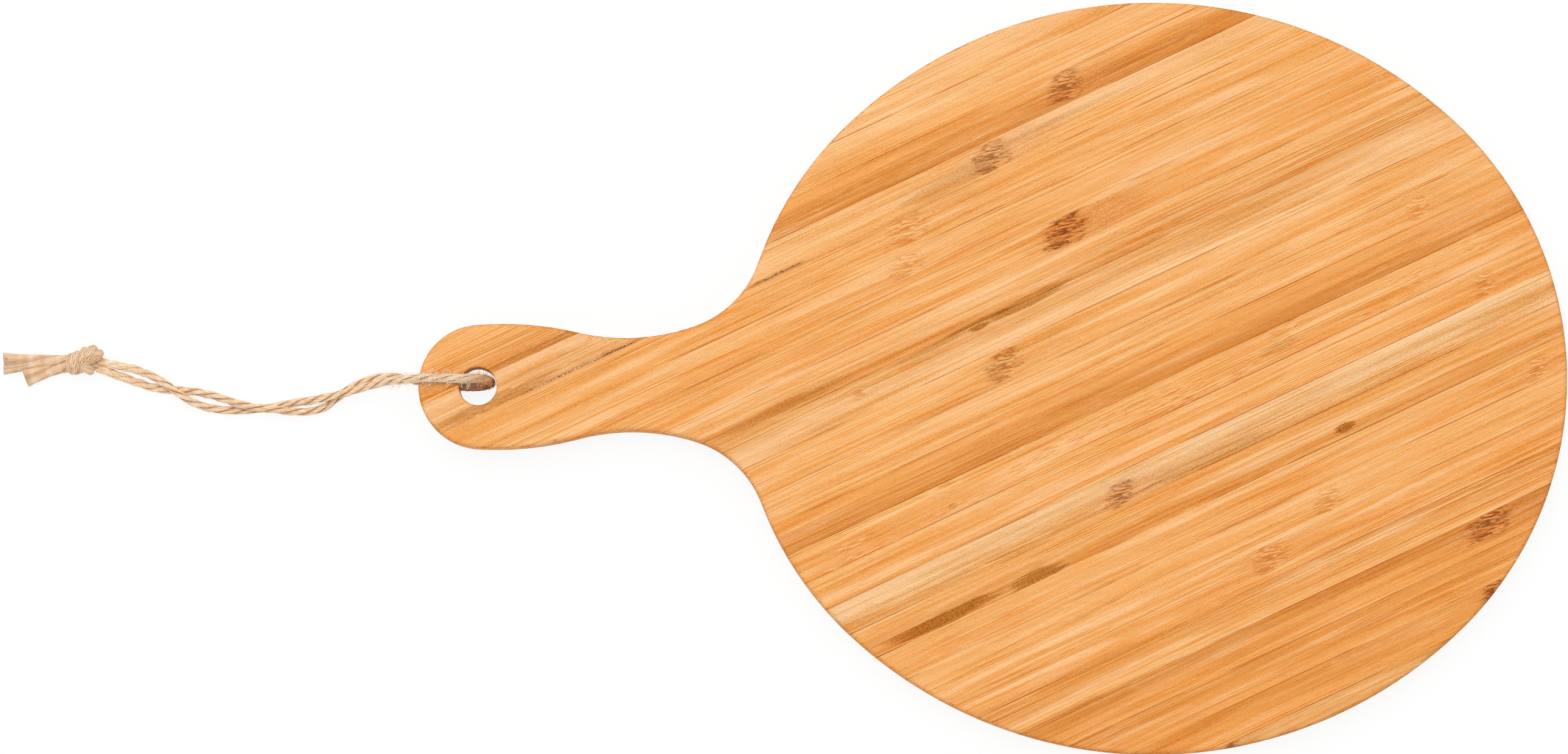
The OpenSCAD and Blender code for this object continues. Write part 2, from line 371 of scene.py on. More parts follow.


# Jute: pale straw fibres along the strand, with painted shade in the grooves between plies, dull.
jute = {
    "light": paint(254, 233, 208),
    "straw": paint(228, 178, 122),
    # the groove colour is painted shade, laid where the plies and ridges dip in
    "grooveShade": paint(146, 88, 38),
    "hair": paint(255, 240, 212),
    # this colour is partly rubbing wear and partly painted shade where the twine goes down into the hole,
    # warmed as by light off the wood
    "wornAndShaded": paint(214, 146, 68),  # where the hole rubs it
    "fibreSizes": (1 / 3.5, 1 / 22, 1.0),  # in units along the strand's map, and in turns round it
    "fibreTurn": -0.5,  # turns round the strand for one unit along it
    "patchSize": 6.25 * mm,
    "fibreLight": (0.38, 0.62),
    "patchStraw": (0.45, 0.75, 0.35),
    "grooveShading": (1.22, 0.85, 0.85),  # mm from the twine's middle
    "hairMark": (1.6, 1.9),  # the bulge that marks a hair
    "rubbedAndShaded": (-0.222, -0.211, 0.75),  # m along the board, from the loop into the hole
}


def juteMaterial():  # light over straw by fibre, then patches, painted groove shade, hairs, and rubbed twine with painted shade at the hole over that
    material, shader = newMaterial("juteTwine")
    along, around = split(put("ShaderNodeUVMap", uv_map="strand").outputs[0])[:2]
    twisted = ramp(along, jute["fibreTurn"], around)
    fibre = pattern(joined(along, twisted), jute["fibreSizes"], 3)
    place = put("ShaderNodeTexCoord").outputs["Object"]
    patch = pattern(place, (jute["patchSize"],) * 3)
    bulge = put("ShaderNodeAttribute", attribute_name="bulge").outputs["Fac"]
    colour = tint(effect(fibre, jute["fibreLight"]), jute["straw"], jute["light"])
    colour = tint(effect(patch, jute["patchStraw"]), colour, jute["straw"])
    # painted shade in the grooves between plies and ridges, where the bulge is low
    colour = tint(effect(bulge, jute["grooveShading"]), colour, jute["grooveShade"])
    colour = tint(effect(bulge, jute["hairMark"]), colour, jute["hair"])
    # partly wear where the hole rubs the twine, partly painted shade where it goes down into the hole
    colour = tint(effect(split(place)[0], jute["rubbedAndShaded"]), colour, jute["wornAndShaded"])
    looks = {"Base Color": colour, "Roughness": 0.9, "Specular IOR Level": 0.08, "Sheen Weight": 0.06}
    finishSurface(shader, looks, fibre, strength=0.5, distance=0.0002)
    return material


juteTwine = juteMaterial()


def twineTubes(path, radius, phase=0.0):  # three ridged plies wound round one centreline
    lines = plyLines(path, phase)
    return [tube(line, radius, twine["stepsRound"], *twine["strands"], core=path) for line in lines]


def swollen(path):  # the plies loosen by a bell curve where they pass the hole and before the knot
    along = lengthAlong(path)
    holeSwell, holeLength = twine["holeSwell"]
    knotSwell, knotLength = twine["knotSwell"]
    atHole = holeSwell * np.exp(-(along / holeLength) ** 2)
    atKnot = knotSwell * np.exp(-((along[-1] - along) / knotLength) ** 2)
    return twine["plyRadius"] + atHole + atKnot


upperPath = smoothPath(np.vstack([bightArc(True), upperRoute]))
underPath = smoothPath(np.vstack([bightArc(False), underRoute]))
upperPlies = twineTubes(upperPath, swollen(upperPath))
underPlies = twineTubes(underPath, swollen(underPath), twine["underPhase"])
upperLeg = meshFromTubes("twine_upper_leg", upperPlies, juteTwine)
underLeg = meshFromTubes("twine_under_leg", underPlies, juteTwine)

# The knot: fat turns of the doubled twine, each an upright oval tilted in the picture's plane.
knot = {
    "centre": (-341.1, 10.7, 0.1),
    "ridges": (15, 0.036, 26.0),  # count, depth and pitch in mm
    "stepsAlong": 48,
    "stepsRound": 60,
    "hold": (-340.0, 10.0, -0.4),  # where the legs run into the knot
    "skipped": 10,  # steps of a leg's last stretch that the leg already has
    # across and up from the centre, tilt in degrees, half height, half depth, half thickness
    "turns": [
        (-4.0, -1.0, 4, 2.0, 1.6, 1.45), (-2.5, -0.7, -6, 2.4, 2.0, 1.5), (-0.6, 0.6, -14, 2.6, 2.4, 1.25),
        (1.4, 1.5, -34, 2.3, 2.2, 1.6), (3.2, 0.9, -52, 2.0, 1.9, 1.35), (1.0, -2.9, 64, 1.0, 1.2, 1.3),
        (0.2, -1.6, -40, 1.9, 1.8, 1.0),
    ],
}


def turnPath(across, up, tilt, high, deep):  # an oval that starts and ends on the table side
    angle = np.linspace(-math.pi, math.pi, knot["stepsAlong"])[:, None]
    lean = math.radians(tilt)
    upright = np.array([-math.sin(lean), math.cos(lean), 0.0])
    middle = np.array(knot["centre"]) + [across, up, 0.0]
    return middle + high * np.sin(angle) * upright + deep * np.cos(angle) * np.array([0.0, 0.0, 1.0])


def knotTubes():  # a ridged tube along each turn, and the ends of the legs that run in
    tubes = []
    for turn in knot["turns"]:
        tubes.append(tube(turnPath(*turn[:5]), turn[5], knot["stepsRound"], *knot["ridges"]))
    for route in (upperRoute, underRoute):
        path = smoothPath([route[-2], route[-1], knot["hold"]])[knot["skipped"]:]
        tubes += twineTubes(path, twine["plyRadius"])
    return tubes


twineKnot = meshFromTubes("twine_knot", knotTubes(), juteTwine)

# The cut ends: a body that flattens and flares, with combed fibres on it that stop at a clean cut.
fray = {
    "fibres": 240,
    "fibreRadius": 0.14,
    "fibreStepsRound": 5,
    "narrow": 1.6,  # mm, half the width before the flare
    "longSpread": 3.6,  # mm, half the width at the cut
    "shortSpread": 2.8,
    "flare": 2.4,  # power of the flare's curve
    "flat": (0.95, 0.65),  # height over width at the knot, and its loss
    "body": (0.92, 0.22),  # share of the width, and its loss at the knot
    "bodyStepsRound": 104,
    "bodyRidges": (26, 0.04, 30.0),
    "cutFrom": 0.95,  # share of the tail where the first fibres end
    "twist": 2.6,  # radians left in the plies from the knot to the cut
    "plyDepth": 0.14,
    "lies": (0.85, 1.0),  # range of a fibre's place, as a share of the half width
    "waves": (6, 18),  # radians of its waves along the tail
    "waveDepth": 0.1,
    "uneven": (0.7, 1.6),  # range of its thickness over fibreRadius
    # a low bulge takes the jute's painted groove shade
    "bulge": (1.18, 0.13),  # mm, and what the ply adds
    "offTable": 0.15,
}
dice = np.random.default_rng(7)


# Fibres lie on an oval that flares and flattens along the tail, and turn with what is left of the twist.
def tailTubes(route, spread):
    path = smoothPath(route)
    share = lengthAlong(path) / lengthAlong(path)[-1]
    reach = fray["narrow"] + (spread - fray["narrow"]) * share ** fray["flare"]
    flat = fray["flat"][0] - fray["flat"][1] * share
    held = int(len(path) * fray["cutFrom"])
    inner = reach * (fray["body"][0] - fray["body"][1] * (1 - share))
    body = tube(path[:held], inner[:held], fray["bodyStepsRound"], *fray["bodyRidges"], flat=flat[:held])
    side, up = carriedFrame(path)
    fibres = []
    for i in range(fray["fibres"]):
        angle = dice.uniform(0, 2 * math.pi)
        ply = math.cos(twine["plies"] * angle)
        out = reach * dice.uniform(*fray["lies"]) * (1 + fray["plyDepth"] * ply * (1 - share))
        stop = int(len(path) * dice.uniform(fray["cutFrom"], 1.0))
        turn = angle - fray["twist"] * share * (2 - share)
        turn = turn + fray["waveDepth"] * np.sin(share * dice.uniform(*fray["waves"]))
        line = path + (out * np.cos(turn))[:, None] * side + (out * np.sin(turn) * flat)[:, None] * up
        line[:, 2] = np.maximum(line[:, 2], tableHeight(line[:, 0]) + fray["offTable"])
        thin = fray["fibreRadius"] * dice.uniform(*fray["uneven"])
        bulge = fray["bulge"][0] + fray["bulge"][1] * ply
        fibres.append(tube(line[:stop:2], thin, fray["fibreStepsRound"], core=bulge))
    return [body] + fibres


longEnd = meshFromTubes("twine_long_tail", tailTubes(longTail, fray["longSpread"]), juteTwine)
shortEnd = meshFromTubes("twine_short_tail", tailTubes(shortTail, fray["shortSpread"]), juteTwine)

# Loose hairs: some stand off the twine, more lie along it and lift a little, most where it rubs in the hole.
fuzz = {
    "standing": 60,  # on each leg
    "lying": 60,  # on each leg, and once more near the hole
    "atHole": 260,
    "atBight": 110,
    "onTurn": 16,
    "thickness": 0.05,
    "bulge": 2.0,  # marks a hair for the material
    "shortest": 1.5,
    "longest": 4.2,
    "onLegs": 0.7,  # share of that length along the legs
    "holeCurl": 1.4,
    "legCurl": 0.6,
    "root": 1.1,  # mm from the twine's middle
    "nearHole": 40.0,  # mm of the upper leg
    "bightSteps": (30, 40),  # steps of the under and of the upper leg
    "holeAt": -215.0,
    "holeRadius": 5.7,  # mm, a little less than the drilled hole's
    "handleReach": 23.0,  # mm, past the handle's edge
    "handleTop": 10.0,
    "inside": 0.3,  # mm past the handle's faces
    "offHandle": 0.12,
    "offTable": 0.1,
    # one standing hair: points, sides and taper, then its ranges as shares of its length
    "standingPoints": 9,
    "standingSides": 3,
    "taper": (1.2, 0.6),
    "along": (0.4, 1.0),
    "off": (0.1, 0.4),
    "bow": (0.1, 0.35),
    "bowAcross": 0.3,
    "waves": (3, 9),
    "sway": 0.15,
    "drop": (0.1, 0.5),
    "curlBack": 0.5,
    # one lying hair: sides and mm from the middle, then its ranges in steps, radians a step and mm
    "lyingSides": 4,
    "lyingRoot": 1.15,
    "lyingSteps": (12, 36),
    "lyingTurn": (-0.1, 0.2),
    "lyingLift": (0.1, 0.35),
    "lyingWaves": (8, 20),
    "lyingWaveDepth": 0.1,
    "lyingThickness": (0.8, 1.4),
}


# Keeps a hair off the table, and in the hole if it starts there, or else over or under the swept handle.
def settle(line, height):
    hole = np.array([fuzz["holeAt"], 0.0])
    away = np.hypot(*(line[:, :2] - hole).T)
    deep = (line[:, 2] > -fuzz["inside"]) & (line[:, 2] < fuzz["handleTop"] + fuzz["inside"])
    swept = (away > fuzz["holeRadius"]) & (away < fuzz["handleReach"])
    if np.any(deep & (away < fuzz["holeRadius"])):
        pull = np.minimum(1, fuzz["holeRadius"] / away)[:, None]
        line[:, :2] = hole + pull * (line[:, :2] - hole)
    elif height > fuzz["handleTop"] / 2:
        line[swept, 2] = np.maximum(line[swept, 2], fuzz["handleTop"] + fuzz["offHandle"])
    else:
        line[swept, 2] = np.minimum(line[swept, 2], -fuzz["offHandle"])
    line[:, 2] = np.maximum(line[:, 2], tableHeight(line[:, 0]) + fuzz["offTable"])
    return line


# A hair that goes along and off the twine, bowed by half a sine wave, swayed sideways and bent back.
def standingHairs(path, count, longest, curl):
    side, up = carriedFrame(path)
    tangent = tangents(path)
    t = np.linspace(0, 1, fuzz["standingPoints"])[:, None]
    thin = fuzz["thickness"] * np.linspace(*fuzz["taper"], len(t))
    hairs = []
    for i in range(count):
        at = dice.integers(2, len(path) - 2)
        angle = dice.uniform(0, 2 * math.pi)
        out = math.cos(angle) * side[at] + math.sin(angle) * up[at]
        across = np.cross(tangent[at], out)
        length = dice.uniform(fuzz["shortest"], longest)
        go = tangent[at] * dice.choice([-1, 1]) * dice.uniform(*fuzz["along"])
        go = go + out * dice.uniform(*fuzz["off"])
        bow = out * dice.uniform(*fuzz["bow"]) + across * dice.normal(0, fuzz["bowAcross"])
        bow = curl * bow * np.sin(math.pi * t)
        sway = across * np.sin(t * dice.uniform(*fuzz["waves"])) * dice.normal(0, fuzz["sway"] * curl)
        drop = out * dice.uniform(*fuzz["drop"]) * t ** 2
        shape = go * t * (1 - fuzz["curlBack"] * curl * t ** 2) + bow + sway - drop
        line = settle(path[at] + out * fuzz["root"] + length * shape, path[at, 2])
        hairs.append(tube(line, thin, fuzz["standingSides"], core=fuzz["bulge"]))
    return hairs


# Hairs that wind with the plies from a start in mm off the middle, lifted by half a sine wave.
def lyingHairs(path, count, start=fuzz["lyingRoot"]):
    side, up = carriedFrame(path)
    hairs = []
    for i in range(count):
        steps = dice.integers(*fuzz["lyingSteps"])
        at = dice.integers(1, len(path) - steps - 1)
        share = np.linspace(0, 1, steps)
        turn = dice.uniform(0, 2 * math.pi) - share * steps * dice.uniform(*fuzz["lyingTurn"])
        lift = start + dice.uniform(*fuzz["lyingLift"]) * np.sin(math.pi * share)
        lift = lift + fuzz["lyingWaveDepth"] * np.sin(share * dice.uniform(*fuzz["lyingWaves"]))
        stretch = slice(at, at + steps)
        around = np.cos(turn)[:, None] * side[stretch] + np.sin(turn)[:, None] * up[stretch]
        line = settle(path[stretch] + lift[:, None] * around, path[at, 2])
        thin = fuzz["thickness"] * dice.uniform(*fuzz["lyingThickness"])
        hairs.append(tube(line[::2], thin, fuzz["lyingSides"], core=fuzz["bulge"]))
    return hairs


def allHairs():  # near the hole, in the bight, on the knot's turns and along both legs
    nearHole = upperPath[: int(fuzz["nearHole"] / twine["stepAlong"])]
    hairs = standingHairs(nearHole, fuzz["atHole"], fuzz["longest"], fuzz["holeCurl"])
    hairs += lyingHairs(nearHole, fuzz["lying"])
    underSteps, upperSteps = fuzz["bightSteps"]
    hairs += lyingHairs(np.vstack([underPath[underSteps:0:-1], upperPath[:upperSteps]]), fuzz["atBight"])
    for turn in knot["turns"]:
        hairs += lyingHairs(turnPath(*turn[:5]), fuzz["onTurn"], turn[5])
    for leg in (upperPath, underPath):
        hairs += standingHairs(leg, fuzz["standing"], fuzz["onLegs"] * fuzz["longest"], fuzz["legCurl"])
        hairs += lyingHairs(leg, fuzz["lying"])
    return hairs


twineFuzz = meshFromTubes("twine_fuzz", allHairs(), juteTwine, smooth=False)

for piece in (upperLeg, underLeg, twineKnot, longEnd, shortEnd, twineFuzz):
    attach(piece, "hanging_loop")
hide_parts("loop_upper_leg")
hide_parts("loop_under_leg")
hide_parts("loop_knot")
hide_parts("loop_long_tail")
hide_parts("loop_short_tail")
legLengths = [round(float(lengthAlong(path)[-1]), 1) for path in (upperPath, underPath)]
print("twine laid: legs of", *legLengths, "mm")

# Bamboo. A place is read in mm along the grain (u), across the strips (w) and through the board (z).
board = {
    "grainAngle": 24.4,
    "stripWidth": 10.3,
    "topLine": 111.2,  # w of the glue line under the first strip
}
tones = {
    "chalk": paint(243, 199, 151),
    "cream": paint(247, 193, 139),
    "pale": paint(246, 183, 118),
    "light": paint(245, 177, 106),
    "mid": paint(242, 171, 97),
    "orange": paint(241, 165, 88),
    "brown": paint(228, 150, 70),
    "deep": paint(218, 138, 56),
    "dusk": paint(231, 163, 93),
}
grain = {
    # noises: sizes in mm along u, w and z, then detail, roughness and distortion
    "wanderNoise": ((150, 14, 14), 2),
    "broadNoise": ((70, 2.2, 3.5), 3),
    "zoneNoise": ((80, 3.6, 5), 3, 0.55),
    "pithNoise": ((0.48, 0.22, 0.22), 2, 0.75),
    "gritNoise": ((0.7, 0.28, 0.28), 2),
    "liningNoise": ((130, 3.2, 5), 2),
    "streakNoise": ((30, 0.4, 0.6), 2, 0.6),
    "bandNoise": ((50, 0.8, 1.4), 2),
    "patchNoise": ((24, 4.5, 6), 2),
    "strokeNoise": ((5.5, 0.36, 0.5), 2, 0.55),
    "seamNoise": ((30, 30, 30), 2),
    "sawNoise": ((16, 0.5, 20), 1),
    # rules: where each starts, where it is full, and its strength
    "zoneBrown": (0.5, 0.66, 0.95),
    "zoneCream": (0.48, 0.32, 0.6),
    "gritShows": (0.54, 0.74),
    "liningShows": (0.4, 0.62, 0.7),
    "streakDark": (0.5, 0.62, 0.7),
    "streakPale": (0.48, 0.37, 0.55),
    "bandOrange": (0.5, 0.66, 0.35),
    "bandCream": (0.5, 0.34, 0.2),
    "patchShows": (0.46, 0.62),
    "strokePale": (0.46, 0.36),
    "strokeDark": (0.54, 0.64),
    "seamDark": (0.022, 0.008, 0.8),  # shares of a strip's width from its glue line
    "seamShows": (0.4, 0.6),
    # washes multiply the wood's colour
    "brownWash": (0.91, 0.78, 0.52, 1),
    "gritWash": (0.74, 0.58, 0.42, 1),
    "streakWash": (0.93, 0.7, 0.3, 1),
    "bandWash": (0.97, 0.82, 0.5, 1),
    "strokeWash": (0.82, 0.54, 0.2, 1),
    # painted shade on one side of each fibre rod
    "rodShadeWash": (0.76, 0.46, 0.14, 1),
    "seamWash": (0.5, 0.3, 0.16, 1),
    # paler colours that lie over it
    "creamPaint": paint(255, 210, 162),
    "palePaint": paint(255, 208, 146),
    "strokePaint": paint(252, 200, 136),
    # a painted highlight along each fibre rod
    "rodHighlightPaint": paint(255, 214, 142),
    "wander": 1.8,  # mm that a fibre strays
    "broadGain": 1.8,
    "toneEnds": (0.05, 0.95),
    "pithGain": (0.7, 0.6),  # everywhere, and more in brown zones
    "liningLeast": 0.3,
    "rodHighlight": 0.9,
    "rodHeight": 0.6,
    "sawDepth": 0.12,
    "sawLevel": 0.95,
}
rods = {
    # width, length, least chance and half a line's width, in mm
    "kinds": ((1.25, 110.0, 0.0, 0.12), (0.6, 75.0, 0.1, 0.08)),
    "deep": 1.7,  # depth of a rod's cell over its width
    "thinning": 0.5,  # how many fewer on the strip's open side
    "gathering": 0.3,  # how many more where a strip has bundles
    "appears": (0.0, 0.25),
    "endsThrough": (0.75, 0.4),
    "endsAlong": (0.6, 0.35),
    # a painted highlight line and a painted shade line, their outer and inner edges over half a line's width
    "highlightLine": (1.15, 0.3),
    "shadeLine": (1.3, 0.3),
}


# Wide smooth zones, browner or creamier than the rest. Pith shows most in the brown ones.
def woodZones(place, pith, cream, colour):
    zone = pattern(place, *grain["zoneNoise"])
    browned = effect(zone, grain["zoneBrown"])
    colour = washed(browned, colour, grain["brownWash"])
    creamy = effect(zone, grain["zoneCream"], cream)
    colour = tint(creamy, colour, grain["creamPaint"])
    always, browner = grain["pithGain"]
    speckled = ramp(browned, browner, always)
    return scaledBy(colour, ramp(minus(pith, 0.5), speckled, 1.0))


# Fine dark and pale streaks, most where the lining is full, and bands a millimetre or so wide.
def woodStreaks(bent, lined, cream, colour):
    streak = pattern(bent, *grain["streakNoise"])
    dark = effect(streak, grain["streakDark"], lined)
    colour = washed(dark, colour, grain["streakWash"])
    pale = effect(streak, grain["streakPale"], lined, cream)
    colour = tint(pale, colour, grain["palePaint"])
    band = pattern(bent, *grain["bandNoise"])
    colour = washed(effect(band, grain["bandOrange"]), colour, grain["bandWash"])
    creamy = effect(band, grain["bandCream"], cream)
    return tint(creamy, colour, grain["creamPaint"])


def woodStrokes(place, bent, dashes, colour):  # short orange strokes in patches, with paler wood between
    patch = effect(pattern(place, *grain["patchNoise"]), grain["patchShows"])
    patch = times(patch, dashes)
    stroke = pattern(bent, *grain["strokeNoise"])
    pale = times(patch, effect(stroke, grain["strokePale"]))
    colour = tint(pale, colour, grain["strokePaint"])
    dark = times(patch, effect(stroke, grain["strokeDark"]))
    return washed(dark, colour, grain["strokeWash"])


# Fibre bundles are rods along the grain, one in a cell: a painted highlight line with a painted shade line
# beside it, as light falls on a ridge.
def fibreRods(bent, sparse, bundles, lined):
    highlightSum, shadeSum = 0.0, 0.0
    for wide, long, least, half in rods["kinds"]:
        cell = inSizes(bent, (long, wide, wide * rods["deep"]))
        found = put("ShaderNodeTexVoronoi", {"Vector": cell, "Scale": 1.0}).outputs
        away = put("ShaderNodeVectorMath", {0: cell, 1: found["Position"]}, operation="SUBTRACT")
        du, dw, dz = split(away.outputs[0])
        chance = split(found["Color"])
        limit = ramp(sparse, rods["thinning"], least)
        limit = minus(limit, times(bundles, rods["gathering"]))
        there = effect(minus(chance[0], limit), rods["appears"])
        through = effect(size(dz), rods["endsThrough"])
        there = times(there, through, effect(size(du), rods["endsAlong"]), lined)
        thick = half / wide
        outer, inner = (thick * s for s in rods["highlightLine"])
        highlight = ease(size(minus(dw, thick)), outer, inner)
        # the darker line is painted shade beside the rod
        outer, inner = (thick * s for s in rods["shadeLine"])
        dark = ease(size(calc("ADD", dw, thick)), outer, inner)
        highlightSum = ramp(times(highlight, chance[1]), there, highlightSum)
        shadeSum = ramp(times(dark, chance[2]), there, shadeSum)
    return highlightSum, shadeSum


def glueSeams(place, share, colour):  # the glue lines show here and there as thin dark lines
    edge = calc("MINIMUM", share, minus(1.0, share))
    here = effect(pattern(place, *grain["seamNoise"]), grain["seamShows"])
    return washed(effect(edge, grain["seamDark"], here), colour, grain["seamWash"])


markSockets = [("Place", "v"), ("MarkU", "f"), ("MarkW", "f"), ("Reach", "f"), ("Spread", "f")]
woodSockets = [("Colour", "c"), ("Height", "f")]


# A strip goes from its upper to its lower tone. Its share is 0 at the upper glue line and 1 at the lower one.
def bambooGrain():
    ins = [("Place", "v"), ("Flat", "v"), ("TopLine", "f"), ("Upper", "c"), ("Lower", "c"), ("Lean", "f"),
           ("Bundles", "f"), ("Grit", "f"), ("Dashes", "f"), ("Cream", "f")]
    tree, entry = group("bambooGrain", ins, woodSockets)
    place = entry["Place"]
    cream = entry["Cream"]
    share = calc("DIVIDE", minus(entry["TopLine"], split(place)[1]), board["stripWidth"])
    share = put("ShaderNodeClamp", {0: share}).outputs[0]
    flipped = times(entry["Lean"], ramp(share, -2.0, 1.0))
    sparse = calc("ADD", share, flipped)  # 0 on the strip's dense side, 1 on its open side
    shift = joined(y=times(swing(place, *grain["wanderNoise"]), grain["wander"]))
    bent = put("ShaderNodeVectorMath", {0: place, 1: shift}, operation="ADD").outputs[0]
    tone = ramp(swing(bent, *grain["broadNoise"]), grain["broadGain"], share)
    colour = tint(effect(tone, grain["toneEnds"]), entry["Upper"], entry["Lower"])
    pith = pattern(bent, *grain["pithNoise"])
    colour = woodZones(place, pith, cream, colour)
    grit = effect(pattern(bent, *grain["gritNoise"]), grain["gritShows"])
    colour = washed(times(grit, entry["Grit"], sparse), colour, grain["gritWash"])
    lined = effect(pattern(place, *grain["liningNoise"]), grain["liningShows"])
    lined = calc("ADD", lined, grain["liningLeast"])
    colour = woodStreaks(bent, lined, cream, colour)
    colour = woodStrokes(place, bent, entry["Dashes"], colour)
    highlight, dark = fibreRods(bent, sparse, entry["Bundles"], times(lined, cream))
    # painted shade and painted highlight along the fibre rods, as light falls on a ridge
    colour = washed(dark, colour, grain["rodShadeWash"])
    colour = tint(times(highlight, grain["rodHighlight"]), colour, grain["rodHighlightPaint"])
    colour = glueSeams(place, share, colour)
    saw = swing(entry["Flat"], *grain["sawNoise"])
    colour = scaledBy(colour, ramp(saw, grain["sawDepth"], grain["sawLevel"]))
    height = ramp(minus(highlight, dark), grain["rodHeight"], pith)
    put("NodeGroupOutput", {"Colour": colour, "Height": height})
    return tree


def fromMark(entry):  # how far a place lies from a mark, in mm along and across the grain
    u, w, z = split(entry["Place"])
    return minus(u, entry["MarkU"]), minus(w, entry["MarkW"]), z


def ovalRing(entry, du, dw):  # 0 in the middle of a mark, 1 on the oval of its reach and spread
    along = calc("DIVIDE", du, entry["Reach"])
    across = calc("DIVIDE", dw, entry["Spread"])
    return ramp(along, along, times(across, across))


knuckle = {
    "turn": 0.22,  # radians that its strokes lie off the grain
    "slant": -0.35,
    "drawnOut": 3.2,  # length of the halo over the knuckle's reach
    "ragNoise": ((7, 0.9, 1.2), 3),
    "speckNoise": ((0.6, 0.3, 0.3), 3),
    "strokeNoise": ((5.2, 1.0, 1.0), 3, 0.5, 0.6),
    "coreRag": 2.6,
    "haloRag": 1.6,
    "core": (1.2, 0.1),
    "halo": (1.0, 0.0, 0.75),
    "speck": (0.25, 0.7),
    "darkStroke": (0.46, 0.08, 0.01),  # the pattern's value in the stroke, its edge and its middle
    "paleStroke": (0.6, 0.06, 0.01),
    "warmth": 0.75,
    "inkGain": (0.4, 0.45),
    "inkTurns": (0.1, 0.6),  # from a faint knuckle's orange ink to a dark one's brown
    "glint": 0.45,
    "depth": -0.6,
    "haloWash": (0.74, 0.56, 0.4, 1),
    "warmWash": (0.8, 0.52, 0.26, 1),
    "faintInk": (0.78, 0.46, 0.1, 1),
    "darkInk": (0.26, 0.16, 0.08, 1),
    "faintGlint": paint(255, 212, 148),
    "darkGlint": paint(240, 166, 82),
}


def strokes(stroke, rule):  # lines where a pattern passes one value
    value, edge, middle = rule
    return ease(size(minus(stroke, value)), edge, middle)


# A knuckle of the cane: wavy dark strokes in a ragged orange patch, with a brown halo drawn out past it.
def knuckleMark():
    tree, entry = group("knuckleMark", woodSockets + markSockets + [("Dark", "f")], woodSockets)
    du, dw, z = fromMark(entry)
    here = joined(du, dw, z)
    rag = swing(entry["Place"], *knuckle["ragNoise"])
    across = calc("POWER", calc("DIVIDE", size(dw), entry["Spread"]), 4.0)
    slant = size(ramp(dw, knuckle["slant"], du))
    along = calc("POWER", calc("DIVIDE", slant, entry["Reach"]), 2.0)
    ring = calc("ADD", along, across)
    core = effect(ramp(rag, knuckle["coreRag"], ring), knuckle["core"])
    drawn = size(minus(du, entry["Reach"]))
    drawn = calc("DIVIDE", drawn, times(entry["Reach"], knuckle["drawnOut"]))
    ring = calc("ADD", calc("POWER", drawn, 2.0), across)
    halo = effect(ramp(rag, knuckle["haloRag"], ring), knuckle["halo"])
    speck = effect(pattern(here, *knuckle["speckNoise"]), knuckle["speck"])
    colour = washed(times(halo, speck, entry["Dark"]), entry["Colour"], knuckle["haloWash"])
    warm = times(core, entry["Dark"], knuckle["warmth"])
    colour = washed(warm, colour, knuckle["warmWash"])
    turned = put("ShaderNodeMapping", {"Vector": here, "Rotation": (0.0, 0.0, knuckle["turn"])}).outputs[0]
    stroke = pattern(turned, *knuckle["strokeNoise"])
    dark = times(core, strokes(stroke, knuckle["darkStroke"]))
    pale = times(core, strokes(stroke, knuckle["paleStroke"]))
    ink = tint(effect(entry["Dark"], knuckle["inkTurns"]), knuckle["faintInk"], knuckle["darkInk"])
    inked = times(dark, ramp(entry["Dark"], *knuckle["inkGain"]))
    colour = washed(inked, colour, ink)
    glint = tint(entry["Dark"], knuckle["faintGlint"], knuckle["darkGlint"])
    colour = tint(times(pale, knuckle["glint"]), colour, glint)
    height = ramp(dark, knuckle["depth"], entry["Height"])
    put("NodeGroupOutput", {"Colour": colour, "Height": height})
    return tree


crack = {
    "wanderNoise": ((5, 40, 40), 3),
    "wander": 0.9,  # mm
    "raggedNoise": ((1.1, 1.0, 3.0), 3, 0.65),
    "raggedGain": (3.2, -0.9),
    "splinterNoise": ((0.7, 0.3, 1.0), 3),
    "edge": (-0.06, 0.1),
    "ends": (0.0, 0.12),
    "splinter": (0.47, 0.6),
    "splinterEnds": (0.3, 0.9),
    "splitDarkening": (1.4, 0.0, 0.45),  # mm from the split
    "splitDarkeningEnds": (0.0, 0.5),
    "splitDarkeningWash": (0.72, 0.58, 0.44, 1),
    "splitShadeShare": 0.85,
    "splitShadePaint": paint(112, 68, 36),
    "splinterPaint": paint(248, 226, 200),
}


def crackMark():  # a ragged split along the grain with pale splinters in it, widest in its middle, its dark inside painted shade
    tree, entry = group("crackMark", woodSockets + markSockets + [("Pale", "f")], woodSockets)
    place = entry["Place"]
    du, dw = fromMark(entry)[:2]
    along = calc("DIVIDE", du, entry["Reach"])
    inside = minus(1.0, times(along, along))
    strayed = times(swing(place, *crack["wanderNoise"]), crack["wander"])
    off = size(minus(dw, strayed))
    ragged = ramp(pattern(place, *crack["raggedNoise"]), *crack["raggedGain"])
    wide = times(entry["Spread"], ragged, inside)
    gap = effect(minus(wide, off), crack["edge"])
    gap = times(gap, effect(inside, crack["ends"]))
    splinter = effect(pattern(place, *crack["splinterNoise"]), crack["splinter"])
    splinter = times(splinter, entry["Pale"], effect(inside, crack["splinterEnds"]))
    # the wood is darker close to the split
    splitDarkening = times(effect(off, crack["splitDarkening"]), effect(inside, crack["splitDarkeningEnds"]))
    colour = washed(splitDarkening, entry["Colour"], crack["splitDarkeningWash"])
    # painted shade inside the split
    colour = tint(times(gap, crack["splitShadeShare"]), colour, crack["splitShadePaint"])
    colour = tint(times(gap, splinter), colour, crack["splinterPaint"])
    put("NodeGroupOutput", {"Colour": colour, "Height": minus(entry["Height"], gap)})
    return tree


